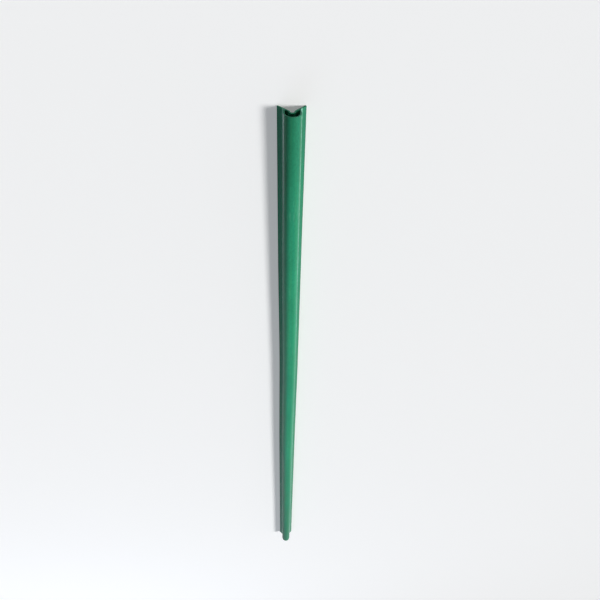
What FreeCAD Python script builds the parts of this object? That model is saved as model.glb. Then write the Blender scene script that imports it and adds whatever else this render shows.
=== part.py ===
"""Corner guard moulding: one soft hollow extrusion that is stuck over the outside corner of a wall.

Its section is a pair of wings at a right angle, which lie on the two wall faces, and a round
hollow nose in front of the corner that takes the knocks. The strip lies on its wing tips as a
tent does: Y runs along it, X across it and Z up, out of the wall's corner. The origin is on the
floor under its middle. Sizes are in millimetres.
"""
import FreeCAD, Part
import math
import os

# The strip
length = 1200.0              # cut length, as sold
corner_angle = 90.0          # angle between the two wall faces, in degrees

# The two wings
wing_reach = 20.0            # along the wall face, from the wall's corner line to the wing's tip
wing_thickness = 1.7
tip_radius = 0.7             # rounding of the two long edges of each tip

# The hollow nose, half round in front and straight at its sides
nose_radius = 9.4            # outside, and half the nose's width
nose_rise = 2.0              # from the wall's corner line out to the centre of the half round
nose_wall = 1.6
nose_root_fillet = 3.0       # concave round where a side of the nose runs into a wing

# The web, which closes the nose's chamber in front of the wall's corner
web_thickness = 1.7
horn_radius = 1.0            # rounding of the chamber's two ends, beside the wall's corner

# The relief groove, which keeps the web off the wall's sharp and uneven arris
relief_radius = 2.3
relief_drop = 1.2            # from the wall's corner line back to the centre of the groove
relief_mouth_radius = 0.6    # rounding where the groove opens on the back of a wing
relief_root_fillet = 0.8     # concave round where the web loops out over the groove

half_angle = math.radians(corner_angle / 2)
tip_across = wing_reach * math.sin(half_angle)      # from the middle out to a wing's tip
tip_drop = wing_reach * math.cos(half_angle)        # from the wall's corner line down to the tip
# A rounded tip touches the floor a little above the sharp edge that it had.
rounding_rise = tip_radius * (math.sin(half_angle) + math.cos(half_angle) - 1)
corner_height = tip_drop - rounding_rise            # the wall's corner line above the floor
chamber_radius = nose_radius - nose_wall
overrun = nose_radius                               # how far a cutter runs past what it cuts
closeness = 0.01                                    # how near counts as lying on a line


def at(x, rise, y=0.0):
    """Point of the section, with its rise counted from the wall's corner line."""
    return FreeCAD.Vector(x, y, corner_height + rise)


def bar(edges_at, beyond=0.0):
    """Straight bar along the strip, which may run past both ends of it.

    edges_at(y) gives the edges of the bar's section, in order, at that place along the strip.
    """
    section = Part.Face(Part.Wire(edges_at(-length / 2 - beyond)))
    return section.extrude(FreeCAD.Vector(0, length + 2 * beyond, 0))


def flat_sided_bar(points, beyond=0.0):
    """Bar whose section has straight sides, given as its (x, rise) corners."""
    return bar(lambda y: Part.makePolygon([at(x, rise, y) for x, rise in points + points[:1]]), beyond)


def round_bar(radius, rise, beyond=0.0):
    """Round bar, centred on the middle plane."""
    return bar(lambda y: Part.makeCircle(radius, at(0, rise, y), FreeCAD.Vector(0, 1, 0)), beyond)


def nose_bar(radius, beyond=0.0):
    """Bar with a half round front and straight sides, which run back to the wall's faces."""
    foot = -radius / math.tan(half_angle)

    def edges_at(y):
        left, right = at(-radius, nose_rise, y), at(radius, nose_rise, y)
        left_foot, right_foot = at(-radius, foot, y), at(radius, foot, y)
        return [
            Part.Arc(left, at(0, nose_rise + radius, y), right).toShape(),
            Part.makeLine(right, right_foot),
            Part.makeLine(right_foot, left_foot),
            Part.makeLine(left_foot, left),
        ]

    return bar(edges_at, beyond)


def wing(side):
    """Flat wing from the wall's corner line to its tip: side is -1 for left and 1 for right."""
    run = FreeCAD.Vector(side * tip_across, 0, -tip_drop)
    out = FreeCAD.Vector(side * math.cos(half_angle), 0, math.sin(half_angle)) * wing_thickness
    return flat_sided_bar([(0, 0), (run.x, run.z), (run.x + out.x, run.z + out.z), (out.x, out.z)])


def wall_corner():
    """The wall's own corner, which the strip is fitted over."""
    depth = wing_reach + nose_radius
    half_width = depth * math.tan(half_angle)
    return flat_sided_bar([(0, 0), (half_width, -depth), (-half_width, -depth)], overrun)


def web_core():
    """The wall's corner and the web on it, less the top that the loop over the groove covers."""
    half_top = web_thickness / math.cos(half_angle)
    depth = wing_reach + nose_radius
    half_width = half_top + depth * math.tan(half_angle)
    corners = [(-half_top, 0), (half_top, 0), (half_width, -depth), (-half_width, -depth)]
    return flat_sided_bar(corners, 2 * overrun)


def wall_distance(x, rise):
    """How far a point of the section stands off the nearer wall face."""
    return abs(x) * math.cos(half_angle) + rise * math.sin(half_angle)


def off_wall(stand_off):
    """Test for points that stand this far off a wall face."""
    return lambda x, rise: abs(wall_distance(x, rise) - stand_off) < closeness


def beside(half_width):
    """Test for points this far out from the middle plane."""
    return lambda x, rise: abs(abs(x) - half_width) < closeness


def on_round(radius, centre_rise):
    """Test for points on a circle about the middle plane."""
    return lambda x, rise: abs(math.hypot(x, rise - centre_rise) - radius) < closeness


def at_tip(x, rise):
    """Test for points on the end face of a wing."""
    reach = abs(x) * math.sin(half_angle) - rise * math.cos(half_angle)
    return abs(reach - wing_reach) < closeness


def rounded(solid, radius, *tests):
    """Round the long edges of a solid that pass every test."""
    edges = []
    for edge in solid.Edges:
        ends = [vertex.Point for vertex in edge.Vertexes]
        runs_along = len(ends) == 2 and abs(ends[0].y - ends[1].y) > length / 2
        if runs_along and all(test(ends[0].x, ends[0].z - corner_height) for test in tests):
            edges.append(edge)
    return solid.makeFillet(radius, edges)


def outside():
    """The strip as if it were solid: wings and nose, fitted over the corner, with its groove."""
    body = nose_bar(nose_radius).fuse([wing(-1), wing(1)])
    body = body.cut(wall_corner()).removeSplitter()
    body = rounded(body, tip_radius, at_tip)
    body = rounded(body, nose_root_fillet, off_wall(wing_thickness), beside(nose_radius))
    body = body.cut(round_bar(relief_radius, -relief_drop, overrun))
    return rounded(body, relief_mouth_radius, off_wall(0), on_round(relief_radius, -relief_drop))


def chamber():
    """The hollow of the nose, a crescent round the wall's corner that is open at both ends."""
    loop_radius = relief_radius + web_thickness
    hollow = nose_bar(chamber_radius, overrun).cut(web_core())
    hollow = rounded(hollow, horn_radius, off_wall(web_thickness), beside(chamber_radius))
    hollow = hollow.cut(round_bar(loop_radius, -relief_drop, 2 * overrun))
    return rounded(hollow, relief_root_fillet, off_wall(web_thickness), on_round(loop_radius, -relief_drop))


guard = outside().cut(chamber())

os.makedirs("parts", exist_ok=True)
guard.exportStep("parts/corner_guard.step")

print("solids", len(guard.Solids), "valid", guard.isValid())
print("section area mm2", round(guard.Volume / length, 2), "volume cm3", round(guard.Volume / 1000, 2))
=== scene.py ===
"""Corner guard moulding: a soft green strip that is stuck over an outside corner.

It is one extrusion with two wings at a right angle and a round hollow nose, and it lies on its
wing tips as a tent does: Y runs along it, X across it and Z up, out of the corner that it covers.
The near end is the one at -Y, which the camera is near.
"""
import math

import bpy
from bpy.props import FloatProperty, FloatVectorProperty, IntProperty, PointerProperty
from mathutils import Euler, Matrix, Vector


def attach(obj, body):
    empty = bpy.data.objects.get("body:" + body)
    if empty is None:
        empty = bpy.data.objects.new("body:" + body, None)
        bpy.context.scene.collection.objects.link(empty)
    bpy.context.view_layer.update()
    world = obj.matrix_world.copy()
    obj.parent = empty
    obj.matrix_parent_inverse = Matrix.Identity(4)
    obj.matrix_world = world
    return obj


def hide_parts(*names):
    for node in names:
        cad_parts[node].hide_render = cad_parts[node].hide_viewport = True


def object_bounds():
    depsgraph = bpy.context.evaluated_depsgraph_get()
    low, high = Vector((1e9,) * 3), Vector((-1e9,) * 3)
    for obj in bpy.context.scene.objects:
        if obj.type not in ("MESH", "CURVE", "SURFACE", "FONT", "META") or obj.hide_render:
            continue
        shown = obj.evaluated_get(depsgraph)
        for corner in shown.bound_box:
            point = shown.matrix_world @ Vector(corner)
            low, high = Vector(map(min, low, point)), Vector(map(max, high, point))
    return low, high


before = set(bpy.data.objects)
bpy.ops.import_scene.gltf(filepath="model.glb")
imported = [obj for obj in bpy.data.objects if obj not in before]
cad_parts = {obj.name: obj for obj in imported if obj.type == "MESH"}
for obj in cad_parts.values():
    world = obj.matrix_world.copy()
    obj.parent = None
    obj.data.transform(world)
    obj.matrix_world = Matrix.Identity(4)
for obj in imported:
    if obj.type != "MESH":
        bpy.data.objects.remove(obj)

bl_info = {
    "name": "Corner Guard Moulding",
    "version": (1, 0, 0),
    "blender": (4, 5, 0),
    "location": "3D View > Sidebar > Corner Guard",
    "description": "Builds a soft hollow corner guard strip and a plain stage for it",
    "category": "Object",
}

CAD_NODE = "corner_guard"
CAD_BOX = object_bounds()              # the solid's box, before any piece stands for it
MM = 0.001                         # a millimetre, in the scene's metres
CUT_FACE = "cut_face"              # attribute that is 1 on the two cut ends
STRAIGHT_PLACE = "straight_place"  # attribute that holds where a point lay before the bends

# The section
DIAGONAL = math.sqrt(0.5)          # sine and cosine of the angle of each wing to the middle plane
EDGE_LOSS = 2.0 * DIAGONAL - 1.0   # what rounding a square edge takes off its height, per radius

# The strip's mesh
HALF_RINGS = 120                   # rings of points from its middle to its end
EDGE_STEPS = 2.0                   # steps round the rounded edge of a cut
WELD = 0.001 * MM                  # points nearer than this become one

# How the soft nose gives way, with its rise counted from the corner line
LEAN_RISE = (-7.0 * MM, 5.0 * MM)  # where its lean starts, and where it is full
PRESS_RISE = (4.0 * MM, 8.0 * MM)  # where it starts to be pressed in, and where it is fully
PRESS_FALL = 4.0                   # how fast the press falls off to the sides of the nose
NOISE_SPREAD = (0.2, 0.8)          # what the noise that makes the edges wave runs between

# Where the wear and the painted highlights lie
CREASE_HIGHLIGHT_TURNS = (32.0, 10.0)          # degrees round the root fillets of the pale line, dust and painted highlight, on the -X and the +X side
CREASE_HIGHLIGHT_NARROWER = 0.1 * MM           # how much narrower the painted crease highlight is on the +X side
CREASE_HIGHLIGHT_WIDER = 0.35 * MM             # how much wider it gets on the -X side, past the near end
CREASE_HIGHLIGHT_WIDER_RUN = 250.0 * MM        # from the near end to where it is that much wider
RAGGEDNESS = 1.5 * MM              # how far the edges of the two painted highlight lines wander
FLANK_HIGHLIGHT_TURN = 14.0                  # degrees round the nose's half round, on the +X side, where the painted flank highlight lies
PAINTED_END_LIGHT = 0.9                     # painted shade: how light the skin is at its ends, where 1 is the rest of a wing

# Gloss and relief
SCRAPE_DULLNESS = 0.3              # how much duller a scrape is than the skin
CUT_DULLNESS = 0.35                # how much duller a cut is than the skin
PEEL_SHARE = 0.35                  # how much of the skin's relief is peel, next to die lines
SKIN_DEPTH = 0.03 * MM             # depth of the skin's relief
BLADE_DEPTH = 0.08 * MM            # depth of the blade's marks
SMOOTH = {"interpolation_type": "SMOOTHSTEP"}

# The stage: places in metres, turns in degrees, lens and sensor in millimetres
FLOOR_HALF = 20.0                  # from the middle of the floor to its edge
KEY_FROM = (-0.71, -0.04, 0.70)    # the side that the soft key light comes from
KEY_SPREAD = 14.0                  # how wide the key light's source looks
FILL_PLACE = (0.8, 1.4, 1.1)
FILL_SIDE = 1.0                    # side of the square fill lamp
CAMERA_PLACE = (0.0271, -0.8474, 0.4986)
CAMERA_TURN = (-47.034, -3.350, -178.543)
CAMERA_LENS = 31.1
CAMERA_SENSOR = 36.0
CAMERA_NEAREST = 0.01              # nothing nearer than this is drawn


def linear(hex_colour):
    """Linear red, green, blue and alpha of an sRGB colour such as #2F9068."""
    channels = [int(hex_colour[place:place + 2], 16) / 255 for place in (1, 3, 5)]
    return [c / 12.92 if c <= 0.04045 else ((c + 0.055) / 1.055) ** 2.4 for c in channels] + [1.0]


def length(name, description, millimetres):
    """Length of the strip or of something on it, as a property."""
    return FloatProperty(
        name=name, description=description, default=millimetres * MM, min=0.0, precision=5,
        subtype="DISTANCE", unit="LENGTH",
    )


def colour(name, description, hex_colour):
    """Colour that is written in sRGB and kept as linear, as a property."""
    return FloatVectorProperty(
        name=name, description=description, default=linear(hex_colour), size=4, min=0.0, max=1.0,
        subtype="COLOR",
    )


def share(name, description, default):
    """Share from 0 to 1, as a property."""
    return FloatProperty(
        name=name, description=description, default=default, min=0.0, max=1.0, subtype="FACTOR",
    )


def angle(name, description, degrees):
    """Angle, as a property."""
    return FloatProperty(
        name=name, description=description, default=math.radians(degrees), subtype="ANGLE",
        unit="ROTATION",
    )


def strength(name, description, default):
    """Strength of a lamp or of light from the room, as a property."""
    return FloatProperty(name=name, description=description, default=default, min=0.0)


class GuardSizes(bpy.types.PropertyGroup):
    """Sizes of the strip, each of which is an input of its geometry tree."""

    strip_length: length("Length", "Cut length of the strip", (CAD_BOX[1].y - CAD_BOX[0].y) / MM)
    wing_reach: length("Wing Reach", "Along a wing's back, from the corner line to the wing's tip", 20.0)
    wing_thickness: length("Wing Thickness", "Thickness of a wing", 1.7)
    tip_radius: length("Tip Radius", "Rounding of the two long edges of a wing's tip", 0.7)
    nose_radius: length("Nose Radius", "Outside of the nose, and half its width", 9.4)
    nose_rise: length("Nose Rise", "From the corner line to the centre of the nose's half round", 2.0)
    nose_wall: length("Nose Wall", "Thickness of the nose's wall", 1.6)
    root_fillet: length("Nose Root Fillet", "Hollow rounding where the nose runs into a wing", 3.0)
    web_thickness: length("Web Thickness", "Thickness of the web behind the nose's chamber", 1.7)
    horn_radius: length("Horn Radius", "Rounding of the two ends of the chamber", 1.0)
    relief_radius: length("Relief Radius", "Groove that keeps the web off a sharp corner", 2.3)
    relief_drop: length("Relief Drop", "From the corner line back to the centre of the groove", 1.2)
    relief_mouth: length("Relief Mouth Radius", "Rounding where the groove opens on a wing's back", 0.6)
    loop_fillet: length("Loop Fillet", "Hollow rounding where the web loops out over the groove", 0.8)
    cut_rounding: length("Cut Rounding", "Rounding that a sharp blade leaves round a cut end", 0.15)
    flatness: length("Flatness", "How far a facet may lie inside the round that it stands for", 0.008)
    cut_skew: length("Cut Skew", "How far a cut runs out of square from wing tip to wing tip", 0.15)
    bow: length("Bow", "How far the soft strip bows to one side", 1.2)
    tip_hold: share("Tip Hold", "How much of the bow the outer wing tip doesn't follow", 0.5)
    bow_place: length("Bow Place", "From the near end to the middle of the bow", 430.0)
    bow_span: length("Bow Span", "From the middle of the bow to where most of it has gone", 160.0)
    nose_lean: angle("Nose Lean", "How far the nose leans to the side of the bow, off the ends", 8.0)
    nose_press: length("Nose Press", "How far knocks have pressed the front of the nose in", 1.1)
    end_hold: length("End Hold", "From an end to where the lean and the press are mostly there", 120.0)
    edge_wave: length("Edge Wave", "How far the soft edge of a wing waves in and out", 0.12)
    wave_length: length("Wave Length", "Length of a wave in the edge of a wing", 140.0)
    seed: IntProperty(name="Seed", description="Picks the waves of the edges", default=4, min=0)


class GuardFinish(bpy.types.PropertyGroup):
    """Colour, wear and gloss of the strip."""

    skin_colour: colour("Skin Colour", "The extruded skin", "#1F8968")
    streak_colour: colour("Streak Colour", "Streaks of pigment in the skin", "#2C8A60")
    # The crease colour is pale dust and a painted highlight.
    crease_highlight_colour: colour("Crease Highlight Colour", "Pale dust and painted highlight in the creases", "#9AD3C1")
    grime_colour: colour("Grime Colour", "Grime along the wing tips", "#1E4A3C")
    scrape_colour: colour("Scrape Colour", "Skin that was scraped", "#5FA98A")
    cut_colour: colour("Cut Colour", "Where the blade went through", "#3F8C6E")
    # The pale flank colour, its share and its run paint a highlight on one flank of the nose.
    flank_highlight_colour: colour("Flank Highlight Colour", "Painted highlight on one flank of the nose", "#E8FAF2")
    flank_highlight_share: share("Flank Highlight Share", "How much the painted flank highlight hides at the near end", 1.0)
    flank_highlight_run: length("Flank Highlight Run", "From the near end to where most of the painted flank highlight has gone", 80.0)
    # The pale line in the creases is dust and a painted highlight.
    crease_highlight: share("Crease Highlight", "How much the pale dust and painted highlight hide in the creases", 0.8)
    # Painted shade on one flank of the nose.
    flank_shade: share("Flank Shade", "How much darker painted shade makes one flank of the nose", 0.25)
    # Painted light: how much lighter the nose is than the wings.
    painted_nose_light: share("Painted Nose Light", "How much lighter painted light makes the nose", 0.27)
    tip_grime: share("Tip Grime", "How much the grime hides at the wing tips", 0.2)
    scrapes: share("Scrapes", "How much of the skin's colour the scrapes hide", 0.3)
    skin_roughness: share("Skin Roughness", "How dull the extruded skin is", 0.42)
    crease_roughness: share("Crease Roughness", "How dull the creases are, which nothing rubs", 0.32)


class StageLook(bpy.types.PropertyGroup):
    """Floor and light."""

    floor_colour: colour("Floor Colour", "The plain floor", "#E9E9E8")
    floor_lift: share("Floor Lift", "How much paler the floor looks than it lights", 0.30)
    room_colour: colour("Room Colour", "Light of the room on the key's side", "#FCFCFC")
    shade_colour: colour("Shade Colour", "Light of room and fill lamp on the other side", "#DCE8FF")
    key_strength: strength("Key Strength", "Soft light from one side", 2.6)
    fill_power: strength("Fill Power", "Soft lamp on the side away from the key, in watts", 5.0)
    near_share: share("Near Share", "How bright the room is behind the camera, next to its sides", 0.4)
    far_strength: strength("Far Strength", "Low glow past the far end", 0.3)
    key_side_strength: strength("Key Side", "Room at eye level on the key's side", 0.9)
    other_side_strength: strength("Other Side", "Room at eye level on the side away from the key", 0.2)
    overhead_strength: strength("Overhead Strength", "Room overhead", 0.13)
    backdrop_strength: strength("Backdrop Strength", "Room behind the strip, as the camera sees it", 0.9)


def add_node(tree, kind, settings=None, inputs=None):
    """Add a node, give it its settings, and link or set its inputs by place, name or identifier."""
    node = tree.nodes.new(kind)
    for key, value in (settings or {}).items():
        setattr(node, key, value)
    for key, value in (inputs or {}).items():
        found = [node.inputs[key]] if isinstance(key, int) else [
            each for each in node.inputs if each.enabled and key in (each.identifier, each.name)
        ]
        if isinstance(value, bpy.types.Node):
            value = [socket for socket in value.outputs if socket.enabled][0]
        if isinstance(value, bpy.types.NodeSocket):
            tree.links.new(value, found[0])
        else:
            found[0].default_value = value
    return node


def blank_tree(block):
    """Node tree of a new material or world, with nothing in it."""
    block.use_nodes = True
    block.node_tree.nodes.clear()
    return block.node_tree


def add_steps(tree, values, steps):
    """Work out steps of arithmetic in a tree and keep each result in values by its name.

    A step is its result's name, an operation and its operands: earlier results, inputs or numbers.
    """
    for result, operation, *operands in steps:
        operands = {place: values.get(operand, operand) for place, operand in enumerate(operands)}
        settings = {"operation": operation, "label": result}
        values[result] = add_node(tree, "ShaderNodeMath", settings, operands)


def add_object(scene, name, data):
    """Add an object that holds the data to the scene."""
    thing = bpy.data.objects.new(name, data)
    scene.collection.objects.link(thing)
    return thing


def loop_corners_tree():
    """Corners whose roundings make a loop about the middle plane that blends into two planes.

    The planes run along the wings at the stand off. Each side of the loop has one corner at its
    foot, which takes the blend's radius, and one at its top, which takes the loop's radius.
    """
    tree = bpy.data.node_groups.new("Loop Corners", "GeometryNodeTree")
    for name in ("Radius", "Drop", "Stand Off", "Blend"):
        socket = tree.interface.new_socket(name, in_out="INPUT", socket_type="NodeSocketFloat")
        socket.subtype = "DISTANCE"
    values = {socket.name: socket for socket in add_node(tree, "NodeGroupInput").outputs}
    add_steps(tree, values, (
        # The blend's centre lies off the plane by the blend, and off the loop's centre by both radii.
        ("centre off", "MULTIPLY_ADD", "Drop", DIAGONAL, "Stand Off"),
        ("blend off", "ADD", "centre off", "Blend"),
        ("reach", "ADD", "Radius", "Blend"),
        ("slope sine", "DIVIDE", "blend off", "reach"),
        ("slope", "ARCSINE", "slope sine"),
        ("angle", "SUBTRACT", "slope", math.pi / 4),
        ("sine", "SINE", "angle"),
        ("cosine", "COSINE", "angle"),
        # The foot is where the loop's tangent at the end of the blend meets the plane.
        ("plane rise", "DIVIDE", "Stand Off", DIAGONAL),
        ("plane height", "ADD", "plane rise", "Drop"),
        ("foot part", "MULTIPLY", "plane height", "sine"),
        ("foot run", "SUBTRACT", "Radius", "foot part"),
        ("foot share", "SUBTRACT", "cosine", "sine"),
        ("Foot Across", "DIVIDE", "foot run", "foot share"),
        ("Foot Rise", "SUBTRACT", "plane rise", "Foot Across"),
        # The top is where that tangent meets the level one.
        ("top share", "SUBTRACT", 1.0, "sine"),
        ("top run", "MULTIPLY", "Radius", "top share"),
        ("Top Across", "DIVIDE", "top run", "cosine"),
        ("Top Rise", "SUBTRACT", "Radius", "Drop"),
    ))
    results = ("Foot Across", "Foot Rise", "Top Across", "Top Rise")
    for name in results:
        tree.interface.new_socket(name, in_out="OUTPUT", socket_type="NodeSocketFloat")
    add_node(tree, "NodeGroupOutput", {}, {name: values[name] for name in results})
    return tree


def add_outline(tree, values, corners):
    """Closed outline that is mirrored about the middle plane, from the corners of its right half.

    A corner is how far it lies across, its rise from the corner line, and its rounding.
    """
    count = len(corners)
    values["index"] = add_node(tree, "GeometryNodeInputIndex")
    add_steps(tree, values, (
        ("mirrored index", "SUBTRACT", 2.0 * count - 1.0, "index"),
        ("corner index", "MINIMUM", "index", "mirrored index"),
        ("side part", "SUBTRACT", count - 0.5, "index"),
        ("side", "SIGN", "side part"),
    ))
    pick = add_node(tree, "GeometryNodeIndexSwitch", {"data_type": "VECTOR"}, {
        "Index": values["corner index"],
    })
    for place, corner in enumerate(corners):
        if place >= len(pick.index_switch_items):
            pick.index_switch_items.new()
        parts = {axis: values[name] for axis, name in enumerate(corner)}
        packed = add_node(tree, "ShaderNodeCombineXYZ", {}, parts)
        tree.links.new(packed.outputs[0], pick.inputs[place + 1])
    picked = add_node(tree, "ShaderNodeSeparateXYZ", {}, {0: pick})
    values.update(zip(("half across", "rise", "rounding"), picked.outputs))
    add_steps(tree, values, (
        ("across", "MULTIPLY", "half across", "side"),
        ("height", "ADD", "rise", "corner height"),
        # Facets of a quarter turn, so that none lies further inside the round than the flatness.
        ("fineness", "DIVIDE", "rounding", "Flatness"),
        ("root", "SQRT", "fineness"),
        ("facets", "MULTIPLY", "root", math.pi / 2 / math.sqrt(8.0)),
        ("whole facets", "CEIL", "facets"),
    ))
    ring = add_node(tree, "GeometryNodeCurvePrimitiveCircle", {}, {"Resolution": 2 * count})
    place = add_node(tree, "ShaderNodeCombineXYZ", {}, {"X": values["across"], "Y": values["height"]})
    placed = add_node(tree, "GeometryNodeSetPosition", {}, {"Geometry": ring, "Position": place})
    return add_node(tree, "GeometryNodeFilletCurve", {"mode": "POLY"}, {
        "Curve": placed, "Count": values["whole facets"], "Radius": values["rounding"],
        "Limit Radius": False,
    })


def add_section(tree, values):
    """The section as two closed curves, its outside and its chamber, from the sizes in values."""
    add_steps(tree, values, (
        ("tip run", "MULTIPLY", "Wing Reach", DIAGONAL),
        ("tip depth", "MULTIPLY", "Wing Thickness", DIAGONAL),
        ("tip front across", "ADD", "tip run", "tip depth"),
        ("tip front rise", "SUBTRACT", "tip depth", "tip run"),
        ("tip back rise", "MULTIPLY", "tip run", -1.0),
        # A rounded tip touches the floor a little above the sharp edge that it had.
        ("rounding rise", "MULTIPLY", "Tip Radius", EDGE_LOSS),
        ("corner height", "SUBTRACT", "tip run", "rounding rise"),
        ("wing face rise", "DIVIDE", "Wing Thickness", DIAGONAL),
        ("nose root rise", "SUBTRACT", "wing face rise", "Nose Radius"),
        ("nose top", "ADD", "Nose Rise", "Nose Radius"),
        ("chamber radius", "SUBTRACT", "Nose Radius", "Nose Wall"),
        ("chamber top", "ADD", "Nose Rise", "chamber radius"),
        ("web face rise", "DIVIDE", "Web Thickness", DIAGONAL),
        ("horn rise", "SUBTRACT", "web face rise", "chamber radius"),
        ("loop radius", "ADD", "Relief Radius", "Web Thickness"),
    ))
    loop_tree = loop_corners_tree()
    for name, radius, stand_off, blend in (
        ("groove", "Relief Radius", None, "Relief Mouth Radius"),
        ("loop", "loop radius", "Web Thickness", "Loop Fillet"),
    ):
        corners = add_node(tree, "GeometryNodeGroup", {"node_tree": loop_tree, "label": name}, {
            "Radius": values[radius], "Drop": values["Relief Drop"],
            "Stand Off": values[stand_off] if stand_off else 0.0, "Blend": values[blend],
        })
        values.update({f"{name} {socket.name}": socket for socket in corners.outputs})

    outside = add_outline(tree, values, (
        ("Nose Radius", "nose top", "Nose Radius"),
        ("Nose Radius", "nose root rise", "Nose Root Fillet"),
        ("tip front across", "tip front rise", "Tip Radius"),
        ("tip run", "tip back rise", "Tip Radius"),
        ("groove Foot Across", "groove Foot Rise", "Relief Mouth Radius"),
        ("groove Top Across", "groove Top Rise", "Relief Radius"),
    ))
    chamber = add_outline(tree, values, (
        ("chamber radius", "chamber top", "chamber radius"),
        ("chamber radius", "horn rise", "Horn Radius"),
        ("loop Foot Across", "loop Foot Rise", "Loop Fillet"),
        ("loop Top Across", "loop Top Rise", "loop radius"),
    ))
    rim = add_node(tree, "GeometryNodeReverseCurve", {}, {"Curve": outside})
    section = add_node(tree, "GeometryNodeJoinGeometry")
    for outline in (rim, chamber):
        tree.links.new(outline.outputs[0], section.inputs[0])
    return section


def add_tube(tree, values, section):
    """The section swept along the strip, open at both ends.

    From each end, three rings of points lie round the cut's edge, one holds its rounding, and the
    rest are evenly spaced.
    """
    values["index"] = add_node(tree, "GeometryNodeInputIndex")
    add_steps(tree, values, (
        ("last ring", "MULTIPLY", "Half Rings", 2.0),
        ("ring count", "ADD", "last ring", 1.0),
        ("mirrored ring", "SUBTRACT", "last ring", "index"),
        ("ring", "MINIMUM", "index", "mirrored ring"),
        ("edge ring", "MINIMUM", "ring", EDGE_STEPS),
        ("edge turn", "MULTIPLY", "edge ring", math.pi / 2 / EDGE_STEPS),
        ("edge cosine", "COSINE", "edge turn"),
        ("edge part", "SUBTRACT", 1.0, "edge cosine"),
        ("past edge", "SUBTRACT", "ring", EDGE_STEPS),
        ("hold part", "MINIMUM", "past edge", 1.0),
        ("hold", "MAXIMUM", "hold part", 0.0),
        ("edge and hold", "ADD", "edge part", "hold"),
        ("edge run", "MULTIPLY", "edge and hold", "Cut Rounding"),
        ("past hold", "SUBTRACT", "past edge", 1.0),
        ("even ring", "MAXIMUM", "past hold", 0.0),
        ("half length", "MULTIPLY", "Length", 0.5),
        # The edge and the step that holds it are each as long as the rounding.
        ("edges length", "MULTIPLY", "Cut Rounding", -2.0),
        ("even length", "ADD", "half length", "edges length"),
        ("even rings", "SUBTRACT", "Half Rings", EDGE_STEPS + 1.0),
        ("even step", "DIVIDE", "even length", "even rings"),
        ("from end", "MULTIPLY_ADD", "even ring", "even step", "edge run"),
        ("from middle", "SUBTRACT", "half length", "from end"),
        ("past middle", "SUBTRACT", "index", "Half Rings"),
        ("end side", "SIGN", "past middle"),
        ("along", "MULTIPLY", "from middle", "end side"),
    ))
    line = add_node(tree, "GeometryNodeCurvePrimitiveLine", {}, {"End": (0.0, 1.0, 0.0)})
    rings = add_node(tree, "GeometryNodeResampleCurve", {}, {
        "Curve": line, "Count": values["ring count"],
    })
    along = add_node(tree, "ShaderNodeCombineXYZ", {}, {"Y": values["along"]})
    path = add_node(tree, "GeometryNodeSetPosition", {}, {"Geometry": rings, "Position": along})
    # A profile is swept upside down along Y, so it is turned half round first.
    turned = add_node(tree, "GeometryNodeTransform", {}, {
        "Geometry": section, "Rotation": Euler((0.0, 0.0, math.pi)),
    })
    return add_node(tree, "GeometryNodeCurveToMesh", {}, {
        "Curve": path, "Profile Curve": turned, "Fill Caps": False,
    })


def add_cut_ends(tree, values, section, tube):
    """The tube with both ends closed by flat faces that are marked as cut."""
    filled = add_node(tree, "GeometryNodeFillCurve", {"mode": "TRIANGLES"}, {"Curve": section})
    flat = add_node(tree, "GeometryNodeSetShadeSmooth", {"domain": "FACE"}, {
        "Geometry": filled, "Shade Smooth": False,
    })
    face = add_node(tree, "GeometryNodeStoreNamedAttribute", {"data_type": "FLOAT", "domain": "FACE"}, {
        "Geometry": flat, "Name": CUT_FACE, "Value": 1.0,
    })
    parts = [tube]
    for side, flipped in ((-1.0, False), (1.0, True)):
        add_steps(tree, values, (("end", "MULTIPLY", "half length", side),))
        end = add_node(tree, "ShaderNodeCombineXYZ", {}, {"Y": values["end"]})
        cut = add_node(tree, "GeometryNodeTransform", {}, {
            "Geometry": face, "Translation": end, "Rotation": Euler((math.pi / 2, 0.0, 0.0)),
        })
        parts.append(add_node(tree, "GeometryNodeFlipFaces", {}, {"Mesh": cut}) if flipped else cut)
    joined = add_node(tree, "GeometryNodeJoinGeometry")
    for part in parts:
        tree.links.new(part.outputs[0], joined.inputs[0])
    return add_node(tree, "GeometryNodeMergeByDistance", {}, {"Geometry": joined, "Distance": WELD})


def add_cut_rounding(tree, values, tube, closed):
    """The closed strip, whose points near a cut move into the plastic, square to the tube's surface."""
    add_steps(tree, values, (
        ("off centre", "ABSOLUTE", "y"),
        ("off end", "SUBTRACT", "half length", "off centre"),
        ("edge left", "SUBTRACT", "Cut Rounding", "off end"),
        ("edge share", "DIVIDE", "edge left", "Cut Rounding"),
        ("edge clear", "MAXIMUM", "edge share", 0.0),
        ("edge square", "POWER", "edge clear", 2.0),
        ("round square", "SUBTRACT", 1.0, "edge square"),
        ("round", "SQRT", "round square"),
        ("inset share", "SUBTRACT", "round", 1.0),
        ("inset", "MULTIPLY", "inset share", "Cut Rounding"),
    ))
    nearest = add_node(tree, "GeometryNodeSampleNearest", {}, {
        "Geometry": tube, "Sample Position": values["position"],
    })
    outward = add_node(tree, "GeometryNodeSampleIndex", {"data_type": "FLOAT_VECTOR"}, {
        "Geometry": tube, "Value": add_node(tree, "GeometryNodeInputNormal"), "Index": nearest,
    })
    shift = add_node(tree, "ShaderNodeVectorMath", {"operation": "SCALE"}, {
        0: outward, "Scale": values["inset"],
    })
    return add_node(tree, "GeometryNodeSetPosition", {}, {"Geometry": closed, "Offset": shift})


def bell(result, place, fall=1.0):
    """Steps of a bell curve, which is 1 where the place is 0 and falls smoothly to 0 off it."""
    square, power = f"{result} square", f"{result} power"
    return (
        (square, "MULTIPLY", place, place),
        (power, "MULTIPLY", square, -fall),
        (result, "EXPONENT", power),
    )


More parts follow.
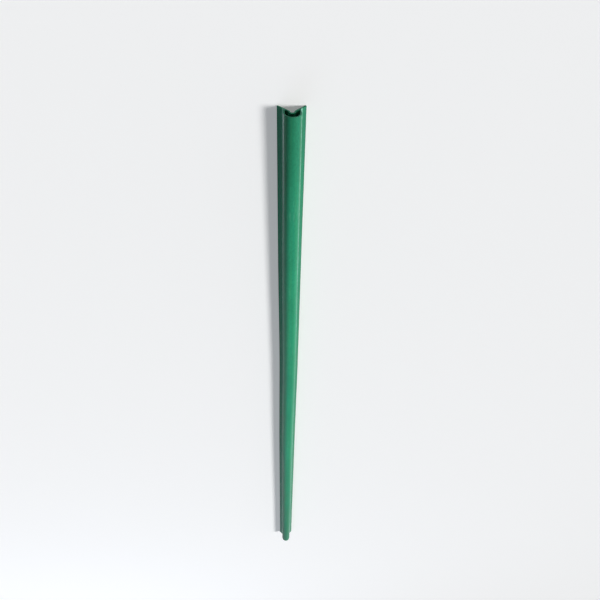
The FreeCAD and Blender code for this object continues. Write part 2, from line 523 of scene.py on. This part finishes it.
def add_bends(tree, values, straight):
    """The strip with its slight bends, which still lies on its wing tips."""
    add_steps(tree, values, (
        ("above corner", "SUBTRACT", "z", "corner height"),
        ("near end to here", "ADD", "y", "half length"),
        ("off bow", "SUBTRACT", "near end to here", "Bow Place"),
        ("off bow share", "DIVIDE", "off bow", "Bow Span"),
        *bell("bow share", "off bow share"),
        ("full bow", "MULTIPLY", "bow share", "Bow"),
        # The wing on the side that the strip bows to stays nearer its place at its tip.
        ("outer tip", "MULTIPLY", "tip front across", -1.0),
        ("outer root", "MULTIPLY", "Nose Radius", -1.0),
        ("follow least", "SUBTRACT", 1.0, "Tip Hold"),
        # The nose turns about the corner line, and its root gives way.
        ("end hold share", "DIVIDE", "off end", "End Hold"),
        *bell("held", "end hold share"),
        ("freed", "SUBTRACT", 1.0, "held"),
        ("free lean", "MULTIPLY", "freed", "Nose Lean"),
        ("full lean", "MULTIPLY", "free lean", -1.0),
        # Its front is pressed in, most along the middle.
        ("crown place", "DIVIDE", "x", "Nose Radius"),
        *bell("crown", "crown place", PRESS_FALL),
        ("full press", "MULTIPLY", "freed", "Nose Press"),
        ("crown press", "MULTIPLY", "crown", "full press"),
        # The edges of the wings wave, each in its own way.
        ("wave place", "DIVIDE", "y", "Wave Length"),
        ("wing side", "SIGN", "x"),
        # A cut out of square takes a little off the strip, most at one wing tip.
        ("skew part", "MULTIPLY_ADD", "x", -0.5, "tip front across"),
        ("skew share", "DIVIDE", "skew part", "tip front across"),
        ("skew", "MULTIPLY", "skew share", "Cut Skew"),
        ("end share", "DIVIDE", "y", "half length"),
        ("end run", "MULTIPLY", "skew", "end share"),
        ("along run", "MULTIPLY", "end run", -1.0),
    ))
    values["lean"] = add_node(tree, "ShaderNodeMapRange", SMOOTH, {
        "Value": values["above corner"], "From Min": LEAN_RISE[0], "From Max": LEAN_RISE[1],
        "To Max": values["full lean"],
    })
    hinge = add_node(tree, "ShaderNodeCombineXYZ", {}, {"Z": values["corner height"]})
    leant = add_node(tree, "ShaderNodeVectorRotate", {"rotation_type": "Y_AXIS"}, {
        "Vector": values["position"], "Center": hinge, "Angle": values["lean"],
    })
    values["press"] = add_node(tree, "ShaderNodeMapRange", SMOOTH, {
        "Value": values["above corner"], "From Min": PRESS_RISE[0], "From Max": PRESS_RISE[1],
        "To Max": values["crown press"],
    })
    values["follow"] = add_node(tree, "ShaderNodeMapRange", {}, {
        "Value": values["x"], "From Min": values["outer tip"], "From Max": values["outer root"],
        "To Min": values["follow least"],
    })
    wave_at = add_node(tree, "ShaderNodeCombineXYZ", {}, {
        "X": values["wave place"], "Y": values["wing side"], "Z": values["Seed"],
    })
    wave = add_node(tree, "ShaderNodeTexNoise", {}, {"Vector": wave_at, "Scale": 1.0, "Detail": 1.0})
    values["wave"] = add_node(tree, "ShaderNodeMapRange", {}, {
        "Value": wave.outputs["Fac"], "From Min": NOISE_SPREAD[0], "From Max": NOISE_SPREAD[1],
        "To Min": -1.0, "To Max": 1.0,
    })
    values["wave part"] = add_node(tree, "ShaderNodeMapRange", {}, {
        "Value": values["z"], "From Max": values["corner height"],
        "To Min": values["Edge Wave"], "To Max": 0.0,
    })
    add_steps(tree, values, (
        ("wave run", "MULTIPLY", "wave", "wave part"),
        ("bow run", "MULTIPLY", "full bow", "follow"),
        ("across run", "SUBTRACT", "wave run", "bow run"),
        ("down run", "MULTIPLY", "press", -1.0),
    ))
    run = add_node(tree, "ShaderNodeCombineXYZ", {}, {
        "X": values["across run"], "Y": values["along run"], "Z": values["down run"],
    })
    return add_node(tree, "GeometryNodeSetPosition", {}, {
        "Geometry": straight, "Position": leant, "Offset": run,
    })


def size_properties(sizes):
    """The properties of a group that hold a number."""
    return [prop for prop in sizes.bl_rna.properties if prop.type in ("FLOAT", "INT")]


def guard_tree(sizes):
    """The strip: its section, swept along it, closed at the cuts, rounded there and bent a little."""
    tree = bpy.data.node_groups.new("Corner Guard", "GeometryNodeTree")
    interface = tree.interface
    for prop in size_properties(sizes):
        kind = {"FLOAT": "NodeSocketFloat", "INT": "NodeSocketInt"}[prop.type]
        socket = interface.new_socket(prop.name, in_out="INPUT", socket_type=kind)
        socket.subtype, socket.description = prop.subtype, prop.description
        socket.default_value = prop.default
    rings = interface.new_socket("Half Rings", in_out="INPUT", socket_type="NodeSocketInt")
    rings.description = "Rings of points from the strip's middle to its end"
    rings.default_value = HALF_RINGS
    interface.new_socket("Skin", in_out="INPUT", socket_type="NodeSocketMaterial")
    interface.new_socket("Geometry", in_out="OUTPUT", socket_type="NodeSocketGeometry")
    values = {socket.name: socket for socket in add_node(tree, "NodeGroupInput").outputs}

    section = add_section(tree, values)
    tube = add_tube(tree, values, section)
    closed = add_cut_ends(tree, values, section, tube)
    values["position"] = add_node(tree, "GeometryNodeInputPosition")
    place = add_node(tree, "ShaderNodeSeparateXYZ", {}, {0: values["position"]})
    values.update(zip("xyz", place.outputs))
    rounded = add_cut_rounding(tree, values, tube, closed)
    vector_of_point = {"data_type": "FLOAT_VECTOR", "domain": "POINT"}
    straight = add_node(tree, "GeometryNodeStoreNamedAttribute", vector_of_point, {
        "Geometry": rounded, "Name": STRAIGHT_PLACE, "Value": values["position"],
    })
    bent = add_bends(tree, values, straight)
    realised = add_node(tree, "GeometryNodeRealizeInstances", {}, {"Geometry": bent})
    skinned = add_node(tree, "GeometryNodeSetMaterial", {}, {
        "Geometry": realised, "Material": values["Skin"],
    })
    add_node(tree, "NodeGroupOutput", {}, {"Geometry": skinned})
    return tree


def corner_height(sizes):
    """How far the corner line lies above the floor."""
    return sizes.wing_reach * DIAGONAL - sizes.tip_radius * EDGE_LOSS


def crease_place(sizes, degrees):
    """Place on the hollow rounding where the nose runs into a wing: 0 degrees is its end at the nose."""
    centre_across = sizes.nose_radius + sizes.root_fillet
    centre_rise = (sizes.wing_thickness + sizes.root_fillet) / DIAGONAL - centre_across
    turn = math.radians(degrees)
    across = centre_across - sizes.root_fillet * math.cos(turn)
    return across, 0.0, corner_height(sizes) + centre_rise - sizes.root_fillet * math.sin(turn)


def flank_place(sizes, degrees):
    """Place on the half round of the nose: 0 degrees is where it runs into the nose's straight side."""
    turn = math.radians(degrees)
    rise = sizes.nose_rise + sizes.nose_radius * math.sin(turn)
    return sizes.nose_radius * math.cos(turn), 0.0, corner_height(sizes) + rise


def swing(result, pattern, width, middle):
    """Step that spreads a pattern, which runs from 0 to 1, over a width about a middle value."""
    return result, "MULTIPLY_ADD", pattern, width, middle - width / 2


def add_patterns(tree, values, straight):
    """Patterns of skin and cuts in real sizes, each of which runs from 0 to 1."""
    # Each has its width in millimetres, how many times as long it is, the axis that it is long on,
    # and its finer layers. Lines from a die lie 0.2 to 0.5 mm apart, which is too fine to show in
    # the render, so they are drawn coarser.
    for name, width, times_as_long, long_axis, detail in (
        ("die lines", 0.8, 220.0, "Y", 3.0),
        ("streaks", 3.5, 60.0, "Y", 2.0),
        ("clouds", 30.0, 2.5, "Y", 2.0),
        ("peel", 2.0, 1.5, "Y", 2.0),
        ("highlight patches", 2.5, 4.0, "Y", 3.0),
        ("scrapes", 1.6, 14.0, "Y", 1.0),
        ("scrape patches", 35.0, 2.0, "Y", 1.0),
        ("blade marks", 0.35, 12.5, "Z", 2.0),
    ):
        stretch = [1.0 / times_as_long if axis == long_axis else 1.0 for axis in "XYZ"]
        label = {"label": name}
        mapped = add_node(tree, "ShaderNodeMapping", label, {"Vector": straight, "Scale": stretch})
        noise = add_node(tree, "ShaderNodeTexNoise", label, {
            "Vector": mapped, "Scale": 1.0 / (width * MM), "Detail": detail, "Roughness": 0.55,
        })
        values[name] = noise.outputs["Fac"]


def add_wear_masks(tree, values, sizes):
    """Masks that say where on the strip grime, scrapes, the painted highlights, the painted shade and
    the painted light lie.
    """
    half_length = 0.5 * sizes.strip_length
    add_steps(tree, values, (
        ("off middle", "ABSOLUTE", "x"),
        ("one side", "GREATER_THAN", "x", 0.0),
        ("other side", "SUBTRACT", 1.0, "one side"),
        ("from near end", "ADD", "y", half_length),
        ("from far end", "SUBTRACT", half_length, "y"),
    ))
    section_place = add_node(tree, "ShaderNodeCombineXYZ", {}, {
        "X": values["off middle"], "Z": values["z"],
    })
    # Pale dust and a painted highlight lie in the crease where the nose runs into a wing, lower down on
    # one side than the other.
    crease_highlight_places = [crease_place(sizes, turn) for turn in CREASE_HIGHLIGHT_TURNS]
    crease_highlight_place = add_node(tree, "ShaderNodeMix", {"data_type": "VECTOR"}, {
        "Factor": values["one side"], "A": crease_highlight_places[0], "B": crease_highlight_places[1],
    })
    for name, place in (("off crease highlight", crease_highlight_place), ("off flank highlight", flank_place(sizes, FLANK_HIGHLIGHT_TURN))):
        distance = add_node(tree, "ShaderNodeVectorMath", {"operation": "DISTANCE"}, {
            0: section_place, 1: place,
        })
        values[name] = distance.outputs["Value"]
    add_steps(tree, values, (
        # The edges of the two painted highlight lines are ragged.
        swing("ragged", "peel", RAGGEDNESS, 0.0),
        ("narrower", "MULTIPLY_ADD", "one side", CREASE_HIGHLIGHT_NARROWER, "ragged"),
        ("past end", "DIVIDE", "from near end", CREASE_HIGHLIGHT_WIDER_RUN),
        ("past end share", "MINIMUM", "past end", 1.0),
        ("widening", "MULTIPLY", "past end share", "other side"),
        ("wider", "MULTIPLY_ADD", "widening", -CREASE_HIGHLIGHT_WIDER, "narrower"),
        ("off ragged crease highlight", "ADD", "off crease highlight", "wider"),
        ("off ragged flank highlight", "ADD", "off flank highlight", "ragged"),
    ))
    # Each mask is 1 at the first value and fades to 0 at the second.
    for name, value, full, gone in (
        ("near part", "from near end", 0.0, 200.0 * MM),
        ("far part", "from far end", 0.0, 600.0 * MM),
        ("near half", "from near end", 100.0 * MM, 500.0 * MM),
        ("below nose", "z", 14.0 * MM, 20.0 * MM),
        ("below crease", "z", 6.5 * MM, 8.5 * MM),
        ("wing edge", "z", 0.4 * MM, 4.5 * MM),
        ("off flank", "x", 1.5 * MM, 7.0 * MM),
        ("crease", "off ragged crease highlight", 0.3 * MM, 1.8 * MM),
        ("flank highlight line", "off ragged flank highlight", 0.2 * MM, 1.4 * MM),
        ("scrape mark", "scrapes", 0.66, 0.58),
        ("scrape patch", "scrape patches", 0.62, 0.5),
    ):
        values[name] = add_node(tree, "ShaderNodeMapRange", {**SMOOTH, "label": name}, {
            "Value": values[value], "From Min": full, "From Max": gone, "To Min": 1.0, "To Max": 0.0,
        })


def soft_pvc(sizes, finish):
    """Flexible PVC, coloured through, extruded and cut with a blade.

    The skin is satin, with faint lines along it from the die and slight streaks of pigment.
    Painted light makes the nose lighter than the wings, less so near the ends, which it darkens.
    Pale dust and a painted highlight lie in the two creases beside the nose, grime along the wing
    tips, painted shade on one flank of the nose, and a painted highlight on that flank at the near end.
    There are faint scrapes. The cut ends are duller and a little paler.
    """
    material = bpy.data.materials.new("flexible_pvc_extruded")
    tree = blank_tree(material)
    straight, cut = [
        add_node(tree, "ShaderNodeAttribute", {"attribute_name": name}).outputs[output]
        for name, output in ((STRAIGHT_PLACE, "Vector"), (CUT_FACE, "Fac"))
    ]
    place = add_node(tree, "ShaderNodeSeparateXYZ", {}, {0: straight})
    values = dict(zip("xyz", place.outputs), cut=cut)
    add_patterns(tree, values, straight)
    add_wear_masks(tree, values, sizes)
    crease_dullness = finish.crease_roughness - finish.skin_roughness
    add_steps(tree, values, (
        # The pale line in the creases is dust and a painted highlight, in patches.
        swing("patchy grime and highlight", "clouds", 0.8, 1.0),
        swing("highlight patchiness", "highlight patches", 1.6, 1.0),
        ("crease highlight cover", "MULTIPLY", "crease", "patchy grime and highlight"),
        ("patchy crease highlight", "MULTIPLY", "crease highlight cover", "highlight patchiness"),
        ("dust and highlight", "MULTIPLY", "patchy crease highlight", finish.crease_highlight),
        # The painted highlight on one flank fades out from the near end.
        ("end fall", "DIVIDE", "from near end", -finish.flank_highlight_run),
        ("end share", "EXPONENT", "end fall"),
        ("flank highlight place", "MULTIPLY", "end share", "one side"),
        ("flank highlight cover", "MULTIPLY", "flank highlight place", "flank highlight line"),
        ("flank highlight", "MULTIPLY", "flank highlight cover", finish.flank_highlight_share),
        ("grime cover", "MULTIPLY", "wing edge", "patchy grime and highlight"),
        ("grime", "MULTIPLY", "grime cover", finish.tip_grime),
        ("scraped", "MULTIPLY", "scrape mark", "scrape patch"),
        ("scrape", "MULTIPLY", "scraped", finish.scrapes),
        # Streaks, and light and dark
        swing("streak share", "streaks", 2.2, 0.5),
        swing("cloud tone", "clouds", 0.34, 1.0),
        swing("line tone", "die lines", 0.22, 0.0),
        swing("peel tone", "peel", 0.5, 0.0),
        ("fine tone", "ADD", "line tone", "peel tone"),
        ("even tone", "ADD", "cloud tone", "fine tone"),
        # Painted light makes the nose lighter than the wings, less so near the ends, and the ends
        # darker.
        ("past near part", "SUBTRACT", 1.0, "near part"),
        ("before far part", "SUBTRACT", 1.0, "far part"),
        ("free part", "MULTIPLY", "past near part", "before far part"),
        ("nose part", "SUBTRACT", 1.0, "below nose"),
        ("painted_nose_light", "MULTIPLY_ADD", "nose part", finish.painted_nose_light, 1.0 - PAINTED_END_LIGHT),
        ("painted light", "MULTIPLY_ADD", "free part", "painted_nose_light", PAINTED_END_LIGHT),
        ("lit tone", "MULTIPLY", "even tone", "painted light"),
        # Painted shade darkens one flank of the nose, most near one end.
        ("on flank", "SUBTRACT", 1.0, "off flank"),
        ("above crease", "SUBTRACT", 1.0, "below crease"),
        ("flank part", "MULTIPLY", "on flank", "above crease"),
        ("flank shade place", "MULTIPLY", "flank part", "near half"),
        ("flank shade", "MULTIPLY_ADD", "flank shade place", -finish.flank_shade, 1.0),
        ("tone", "MULTIPLY", "lit tone", "flank shade"),
        # Gloss
        swing("line gloss", "die lines", 0.24, finish.skin_roughness),
        swing("cloud gloss", "clouds", 0.16, 0.0),
        ("skin gloss", "ADD", "line gloss", "cloud gloss"),
        ("crease gloss", "MULTIPLY_ADD", "crease", crease_dullness, "skin gloss"),
        ("scrape gloss", "MULTIPLY_ADD", "scrape", SCRAPE_DULLNESS, "crease gloss"),
        ("roughness", "MULTIPLY_ADD", "cut", CUT_DULLNESS, "scrape gloss"),
        # Relief of the skin
        ("peel part", "MULTIPLY", "peel", PEEL_SHARE),
        ("relief", "MULTIPLY_ADD", "die lines", 1.0 - PEEL_SHARE, "peel part"),
    ))
    pigment = add_node(tree, "ShaderNodeMix", {"data_type": "RGBA"}, {
        "Factor": values["streak share"], "A": finish.skin_colour, "B": finish.streak_colour,
    })
    coat = add_node(tree, "ShaderNodeVectorMath", {"operation": "SCALE"}, {
        0: pigment, "Scale": values["tone"],
    })
    # Grime, scrapes and cuts are the skin's own; the pale lines in the creases and on the flank are
    # painted highlights.
    for cover, cover_colour in (
        ("grime", finish.grime_colour), ("dust and highlight", finish.crease_highlight_colour), ("flank highlight", finish.flank_highlight_colour),
        ("scrape", finish.scrape_colour), ("cut", finish.cut_colour),
    ):
        coat = add_node(tree, "ShaderNodeMix", {"data_type": "RGBA"}, {
            "Factor": values[cover], "A": coat, "B": cover_colour,
        })
    skin = add_node(tree, "ShaderNodeBump", {}, {"Height": values["relief"], "Distance": SKIN_DEPTH})
    bladed = add_node(tree, "ShaderNodeBump", {}, {
        "Height": values["blade marks"], "Distance": BLADE_DEPTH, "Strength": cut,
        "Normal": skin,
    })
    # The index is PVC's. The specular level is low, to match the skin's faint sheen.
    surface = add_node(tree, "ShaderNodeBsdfPrincipled", {}, {
        "Base Color": coat, "Roughness": values["roughness"], "IOR": 1.53, "Specular IOR Level": 0.17,
        "Normal": bladed,
    })
    add_node(tree, "ShaderNodeOutputMaterial", {}, {"Surface": surface})
    return material


def floor_paint(look):
    """Matt emulsion paint: pale, with no gloss.

    The camera and gloss on the strip see it paler than it lights the strip.
    """
    material = bpy.data.materials.new("matt_emulsion_paint")
    tree = blank_tree(material)
    coat = add_node(tree, "ShaderNodeBsdfDiffuse", {}, {"Color": look.floor_colour})
    values = {socket.name: socket for socket in add_node(tree, "ShaderNodeLightPath").outputs}
    add_steps(tree, values, (
        ("seen", "MAXIMUM", "Is Camera Ray", "Is Glossy Ray"),
        ("lift", "MULTIPLY", "seen", look.floor_lift),
    ))
    glow = add_node(tree, "ShaderNodeEmission", {}, {
        "Color": look.floor_colour, "Strength": values["lift"],
    })
    surface = add_node(tree, "ShaderNodeAddShader", {}, {0: coat, 1: glow})
    add_node(tree, "ShaderNodeOutputMaterial", {}, {"Surface": surface})
    return material


def studio_world(look):
    """Light of a room: brightest at eye level on the key's side, dim overhead and behind the camera.

    A low glow comes from past the far end. What the camera sees of the room is plain and pale.
    The ranges below are of a direction's X, Y and Z, each of which runs from -1 to 1.
    """
    world = bpy.data.worlds.new("studio")
    tree = blank_tree(world)
    direction = add_node(tree, "ShaderNodeTexCoord")
    toward = add_node(tree, "ShaderNodeSeparateXYZ", {}, {0: direction.outputs["Generated"]})
    side = add_node(tree, "ShaderNodeMapRange", {}, {
        "Value": toward.outputs["X"], "From Min": -1.0, "From Max": 1.0,
        "To Min": look.key_side_strength, "To Max": look.other_side_strength,
    })
    room = add_node(tree, "ShaderNodeMapRange", SMOOTH, {
        "Value": toward.outputs["Z"], "From Min": 0.0, "From Max": 0.5,
        "To Min": side, "To Max": look.overhead_strength,
    })
    near = add_node(tree, "ShaderNodeMapRange", {}, {
        "Value": toward.outputs["Y"], "From Min": -1.0, "From Max": -0.2, "To Min": look.near_share,
    })
    far = add_node(tree, "ShaderNodeMapRange", SMOOTH, {
        "Value": toward.outputs["Y"], "From Min": 0.2, "From Max": 1.0, "To Max": look.far_strength,
    })
    low = add_node(tree, "ShaderNodeMapRange", SMOOTH, {
        "Value": toward.outputs["Z"], "From Min": 0.3, "From Max": 0.8, "To Min": 1.0, "To Max": 0.0,
    })
    values = {"room": room, "near": near, "far": far, "low": low}
    add_steps(tree, values, (
        ("far glow", "MULTIPLY", "far", "low"),
        ("lit", "MULTIPLY_ADD", "room", "near", "far glow"),
    ))
    across = add_node(tree, "ShaderNodeMapRange", {}, {
        "Value": toward.outputs["X"], "From Min": -0.5, "From Max": 0.5,
    })
    tint = add_node(tree, "ShaderNodeMix", {"data_type": "RGBA"}, {
        "Factor": across, "A": look.room_colour, "B": look.shade_colour,
    })
    seen = add_node(tree, "ShaderNodeLightPath").outputs["Is Camera Ray"]
    strength_seen = add_node(tree, "ShaderNodeMapRange", {}, {
        "Value": seen, "To Min": values["lit"], "To Max": look.backdrop_strength,
    })
    colour_seen = add_node(tree, "ShaderNodeMix", {"data_type": "RGBA"}, {
        "Factor": seen, "A": tint, "B": look.room_colour,
    })
    background = add_node(tree, "ShaderNodeBackground", {}, {
        "Color": colour_seen, "Strength": strength_seen,
    })
    add_node(tree, "ShaderNodeOutputWorld", {}, {"Surface": background})
    return world


def shining_from(place):
    """Turn of a lamp that shines from a place, or from that side, to the middle of the strip."""
    return Vector(place).to_track_quat("Z", "Y").to_euler()


class CORNER_GUARD_OT_strip(bpy.types.Operator):
    """Build the corner guard strip from its sizes and finish"""

    bl_idname = "corner_guard.strip"
    bl_label = "Add Strip"

    def execute(self, context):
        scene = context.scene
        sizes, finish = scene.guard_sizes, scene.guard_finish
        tree = guard_tree(sizes)
        source = add_object(scene, "strip_source", bpy.data.meshes.new("strip_source"))
        modifier = source.modifiers.new("Corner Guard", "NODES")
        modifier.node_group = tree
        given = {prop.name: getattr(sizes, prop.identifier) for prop in size_properties(sizes)}
        given["Skin"] = soft_pvc(sizes, finish)
        for socket in tree.interface.items_tree:
            if socket.in_out == "INPUT" and socket.name in given:
                modifier[socket.identifier] = given[socket.name]
        graph = context.evaluated_depsgraph_get()
        mesh = bpy.data.meshes.new_from_object(
            source.evaluated_get(graph), preserve_all_data_layers=True, depsgraph=graph,
        )
        if not mesh.polygons:
            raise RuntimeError("the strip's geometry tree made no faces")
        bpy.data.objects.remove(source)
        # An empty slot comes before the one that the tree fills.
        while mesh.materials[0] is None:
            mesh.materials.pop(index=0)
        mesh.name = "guard_strip"
        strip = add_object(scene, "guard_strip", mesh)
        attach(strip, "root")
        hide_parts(CAD_NODE)
        return {"FINISHED"}


class CORNER_GUARD_OT_stage(bpy.types.Operator):
    """Set the floor, the light and the camera round the strip"""

    bl_idname = "corner_guard.stage"
    bl_label = "Set Stage"

    def execute(self, context):
        scene, look = context.scene, context.scene.stage_look
        mesh = bpy.data.meshes.new("floor")
        signs = ((-1, -1), (1, -1), (1, 1), (-1, 1))
        mesh.from_pydata([(FLOOR_HALF * x, FLOOR_HALF * y, 0.0) for x, y in signs], [], [(0, 1, 2, 3)])
        mesh.materials.append(floor_paint(look))
        floor = add_object(scene, "floor", mesh)
        scene.world = studio_world(look)

        key = bpy.data.lights.new("key", "SUN")
        key.energy, key.angle = look.key_strength, math.radians(KEY_SPREAD)
        add_object(scene, "key", key).rotation_euler = shining_from(KEY_FROM)

        fill = bpy.data.lights.new("fill", "AREA")
        fill.shape, fill.size = "SQUARE", FILL_SIDE
        fill.energy, fill.color = look.fill_power, look.shade_colour[:3]
        lamp = add_object(scene, "fill", fill)
        lamp.location, lamp.rotation_euler = FILL_PLACE, shining_from(FILL_PLACE)

        # It looks along the strip from past its near end, with that end at the top of the picture.
        camera = bpy.data.cameras.new("camera")
        camera.lens, camera.sensor_width = CAMERA_LENS, CAMERA_SENSOR
        camera.clip_start = CAMERA_NEAREST
        viewer = add_object(scene, "camera", camera)
        viewer.location = CAMERA_PLACE
        viewer.rotation_euler = Euler([math.radians(turn) for turn in CAMERA_TURN])
        scene.camera = viewer
        scene.view_settings.view_transform = "Standard"
        return {"FINISHED"}


class VIEW3D_PT_corner_guard(bpy.types.Panel):
    """Sizes, finish and builders of the corner guard"""

    bl_label = "Corner Guard"
    bl_idname = "VIEW3D_PT_corner_guard"
    bl_space_type = "VIEW_3D"
    bl_region_type = "UI"
    bl_category = "Corner Guard"

    def draw(self, context):
        for group in (context.scene.guard_sizes, context.scene.guard_finish, context.scene.stage_look):
            column = self.layout.column(align=True)
            for prop in group.bl_rna.properties:
                if prop.identifier not in ("rna_type", "name"):
                    column.prop(group, prop.identifier)
        for operator in (CORNER_GUARD_OT_strip, CORNER_GUARD_OT_stage):
            self.layout.operator(operator.bl_idname)


CLASSES = (
    GuardSizes, GuardFinish, StageLook,
    CORNER_GUARD_OT_strip, CORNER_GUARD_OT_stage, VIEW3D_PT_corner_guard,
)


def register():
    for cls in CLASSES:
        bpy.utils.register_class(cls)
    bpy.types.Scene.guard_sizes = PointerProperty(type=GuardSizes)
    bpy.types.Scene.guard_finish = PointerProperty(type=GuardFinish)
    bpy.types.Scene.stage_look = PointerProperty(type=StageLook)


def unregister():
    del bpy.types.Scene.stage_look
    del bpy.types.Scene.guard_finish
    del bpy.types.Scene.guard_sizes
    for cls in reversed(CLASSES):
        bpy.utils.unregister_class(cls)


def main():
    register()
    bpy.ops.corner_guard.strip()
    bpy.ops.corner_guard.stage()


if __name__ == "__main__":
    main()
